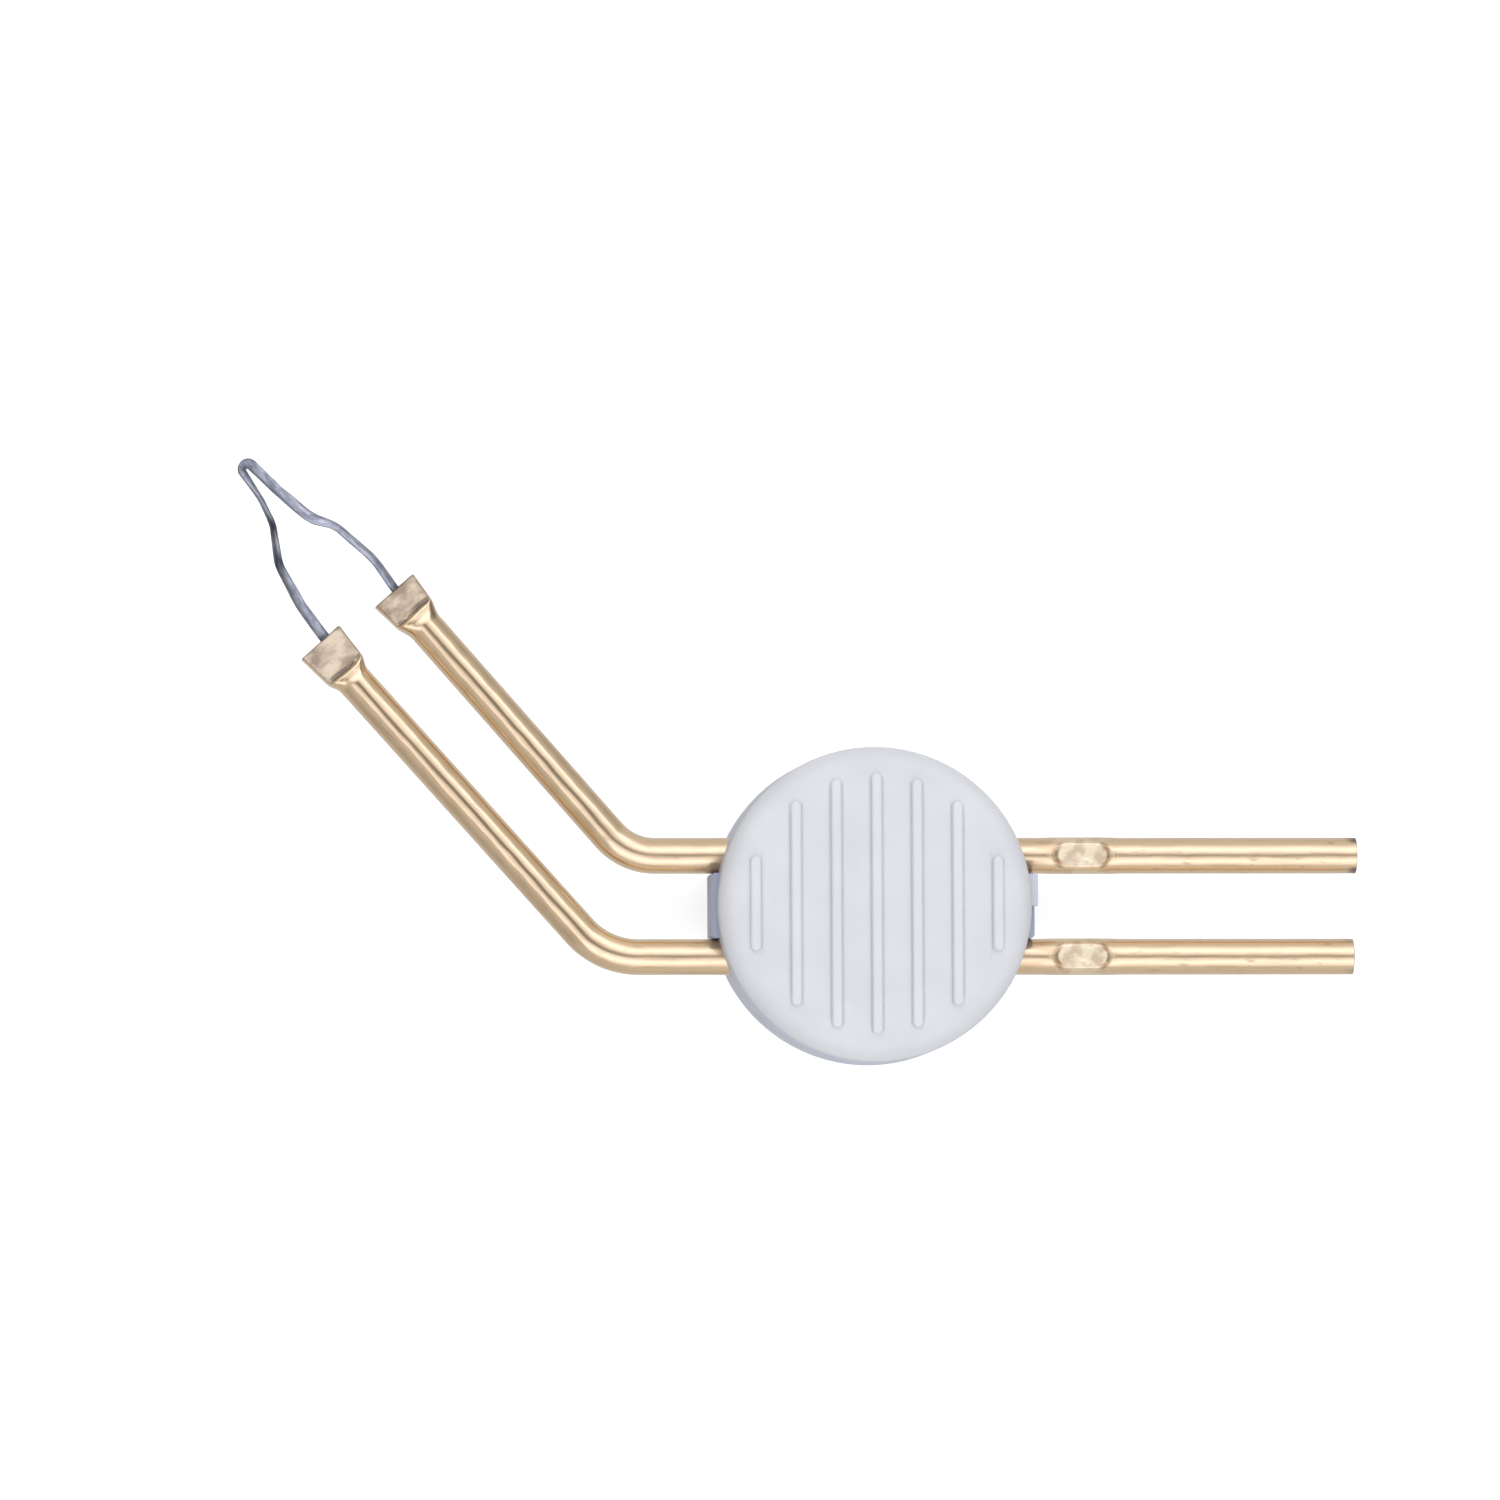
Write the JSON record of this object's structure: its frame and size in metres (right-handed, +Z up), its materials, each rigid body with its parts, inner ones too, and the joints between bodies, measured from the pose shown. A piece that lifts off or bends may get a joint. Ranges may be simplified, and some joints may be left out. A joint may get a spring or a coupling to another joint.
{
  "type": "inoculating loop",
  "caption": "Plug-in heated wire loop on two bent brass prongs held by a round ribbed plastic finger grip",
  "frame": {"origin": "on the grip's axis, at the tops of the rear finger ribs that the part rests on", "axes": "+X along the prongs to their plug ends, +Y in the prongs' plane towards the side the loop is bent to, +Z up through the grip to its front face"},
  "size_m": [0.0499, 0.0269, 0.006],
  "materials": {
    "prong_brass": "drawn and polished, the pressed ends matt and mottled",
    "loop_wire": "dull oxidised resistance wire",
    "grip_plastic": "satin moulded, cool pale grey",
    "bar_plastic": "satin moulded, darker blue grey"
  },
  "bodies": {
    "root": {"upper_prong": "prong_brass", "lower_prong": "prong_brass", "heating_loop": "loop_wire", "spacer_bar": "bar_plastic", "front_grip_half": "grip_plastic", "rear_grip_half": "grip_plastic"}
  },
  "joints": []
}
